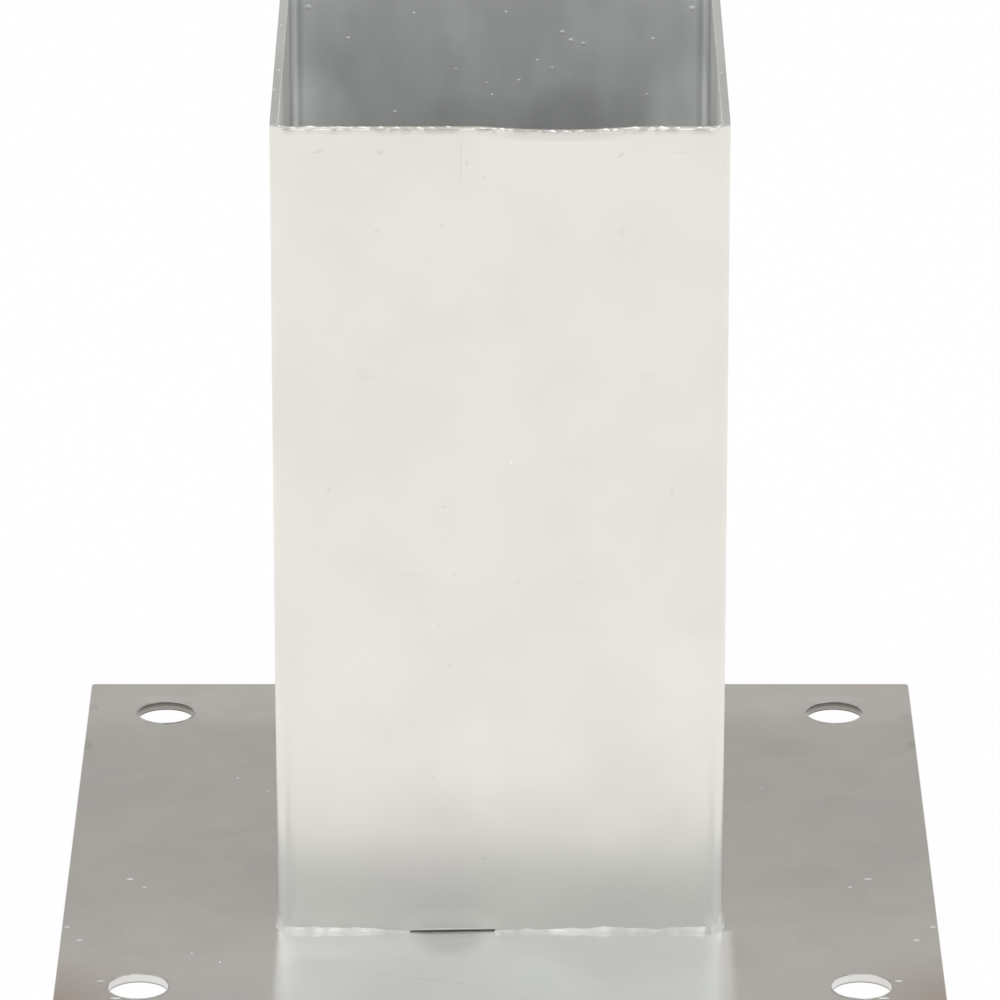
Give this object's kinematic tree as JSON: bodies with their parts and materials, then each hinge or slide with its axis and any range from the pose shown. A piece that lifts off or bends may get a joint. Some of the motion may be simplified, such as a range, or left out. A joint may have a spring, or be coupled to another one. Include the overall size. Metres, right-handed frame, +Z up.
{
  "type": "timber post base",
  "caption": "Galvanised steel post base: a square socket for a 75 mm timber post, welded on a flat square plate with anchor holes in its corners.",
  "frame": {"origin": "middle of the base plate's underside", "axes": "+Z up, along the post; the front, the side with the open slit at the socket's foot, looks along -Y; +X to the right seen from the front"},
  "size_m": [0.156, 0.156, 0.1516],
  "materials": {
    "galvanised_plate": "dull mottled zinc",
    "galvanised_sleeve": "bright smooth zinc",
    "zinc_coated_weld": "bright rippled zinc"
  },
  "bodies": {
    "root": {"base_plate": "galvanised_plate", "post_sleeve": "galvanised_sleeve", "foot_weld": "zinc_coated_weld", "seam_weld": "zinc_coated_weld"}
  },
  "joints": []
}
